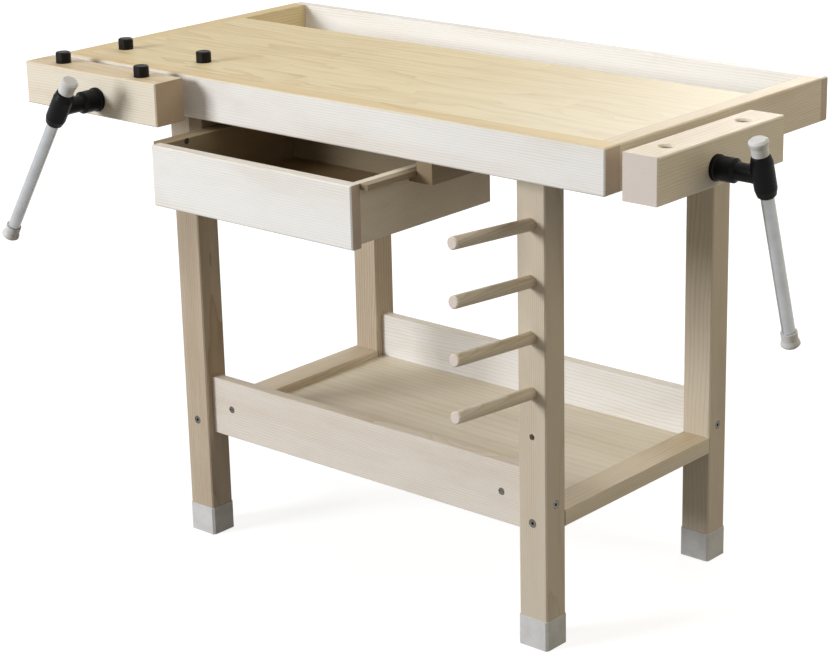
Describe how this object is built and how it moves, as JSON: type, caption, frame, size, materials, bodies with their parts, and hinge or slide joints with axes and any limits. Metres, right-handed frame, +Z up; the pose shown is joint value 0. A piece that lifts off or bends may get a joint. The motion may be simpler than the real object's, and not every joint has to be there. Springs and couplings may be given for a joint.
{
  "type": "woodworking bench with vises",
  "caption": "Timber woodworking bench with a wooden-jawed vise at the front and one at the end, bench dogs, a tool tray, a hanging drawer, tool pegs and a lower shelf.",
  "frame": {"origin": "on the floor, in the middle of the box that holds the bench and its two vises", "axes": "+X along the bench to the right as its user stands, +Y from its front to its back, +Z up, out of the worktop"},
  "size_m": [1.3258, 0.7558, 0.868],
  "materials": {
    "pine": "planed pale pine with clear oil",
    "plywood": "thin birch plywood, sanded",
    "bright_steel": "bright zinc-plated steel",
    "black_iron": "cast iron, black enamel",
    "zinc_steel": "dull zinc-plated screws and bolts",
    "black_plastic": "moulded black nylon",
    "grey_plastic": "moulded light grey plastic"
  },
  "bodies": {
    "bench": {"worktop_panel": "pine", "front_apron": "pine", "back_rail": "pine", "left_end_cap": "pine", "right_end_cap": "pine", "tray_front_rail": "pine", "tray_floor": "plywood", "left_bearer": "pine", "right_bearer": "pine", "tray_bearers": "pine", "front_left_leg": "pine", "front_right_leg": "pine", "back_left_leg": "pine", "back_right_leg": "pine", "foot_caps": "grey_plastic", "upper_rails": "pine", "left_lower_rail": "pine", "right_lower_rail": "pine", "front_shelf_board": "pine", "back_shelf_board": "pine", "shelf_panel": "plywood", "shelf_cleats": "pine", "tool_pegs": "pine", "frame_bolts": "zinc_steel", "barrel_nuts": "zinc_steel", "underside_screws": "zinc_steel", "left_runner": "pine", "right_runner": "pine", "runner_ledges": "pine", "front_nut_plate": "black_iron", "end_nut_plate": "black_iron", "nut_plate_screws": "zinc_steel"},
    "drawer": {"drawer_front": "pine", "drawer_left_side": "pine", "drawer_right_side": "pine", "drawer_back": "pine", "drawer_bottom": "plywood", "drawer_strips": "pine", "drawer_screws": "zinc_steel"},
    "front_jaw": {"front_jaw": "pine", "front_jaw_plate": "black_iron", "front_jaw_plate_screws": "zinc_steel", "front_guide_rods": "bright_steel"},
    "front_screw": {"front_vise_screw": "bright_steel", "front_vise_hub": "black_iron"},
    "front_bar": {"front_vise_bar": "bright_steel", "front_bar_caps": "grey_plastic"},
    "end_jaw": {"end_jaw": "pine", "end_jaw_plate": "black_iron", "end_jaw_plate_screws": "zinc_steel", "end_guide_rods": "bright_steel"},
    "end_screw": {"end_vise_screw": "bright_steel", "end_vise_hub": "black_iron"},
    "end_bar": {"end_vise_bar": "bright_steel", "end_bar_caps": "grey_plastic"},
    "jaw_dog_left": {"jaw_dog_left": "black_plastic"},
    "jaw_dog_right": {"jaw_dog_right": "black_plastic"},
    "top_dog_left": {"top_dog_left": "black_plastic"},
    "top_dog_right": {"top_dog_right": "black_plastic"}
  },
  "joints": [
    {"name": "drawer_slide", "type": "slide", "parent": "bench", "child": "drawer", "axis": [0, -1, 0], "range_m": [-0.124, 0.11]},
    {"name": "front_jaw_slide", "type": "slide", "parent": "bench", "child": "front_jaw", "axis": [0, -1, 0], "range_m": [-0.02, 0.11]},
    {"name": "front_screw_turn", "type": "hinge", "parent": "front_jaw", "child": "front_screw", "pos_m": [-0.4879, -0.3613, 0.808], "axis": [0, -1, 0], "range_deg": [-1440, 7920]},
    {"name": "front_bar_slide", "type": "slide", "parent": "front_screw", "child": "front_bar", "axis": [0.5373, 0, 0.8434], "range_m": [0, 0.2254]},
    {"name": "end_jaw_slide", "type": "slide", "parent": "bench", "child": "end_jaw", "axis": [1, 0, 0], "range_m": [-0.03, 0.09]},
    {"name": "end_screw_turn", "type": "hinge", "parent": "end_jaw", "child": "end_screw", "pos_m": [0.6464, -0.062, 0.808], "axis": [1, 0, 0], "range_deg": [-2160, 6480]},
    {"name": "end_bar_slide", "type": "slide", "parent": "end_screw", "child": "end_bar", "axis": [0, -0.2924, 0.9563], "range_m": [0, 0.2254]},
    {"name": "jaw_dog_left_lift", "type": "slide", "parent": "front_jaw", "child": "jaw_dog_left", "axis": [0, 0, 1], "range_m": [0, 0.075]},
    {"name": "jaw_dog_right_lift", "type": "slide", "parent": "front_jaw", "child": "jaw_dog_right", "axis": [0, 0, 1], "range_m": [0, 0.075]},
    {"name": "top_dog_left_lift", "type": "slide", "parent": "bench", "child": "top_dog_left", "axis": [0, 0, 1], "range_m": [0, 0.075]},
    {"name": "top_dog_right_lift", "type": "slide", "parent": "bench", "child": "top_dog_right", "axis": [0, 0, 1], "range_m": [0, 0.075]}
  ],
  "couplings": [
    {"joint": "front_jaw_slide", "follows": "front_screw_turn", "m_per_rad": 0.00079577},
    {"joint": "end_jaw_slide", "follows": "end_screw_turn", "m_per_rad": 0.00079577}
  ]
}
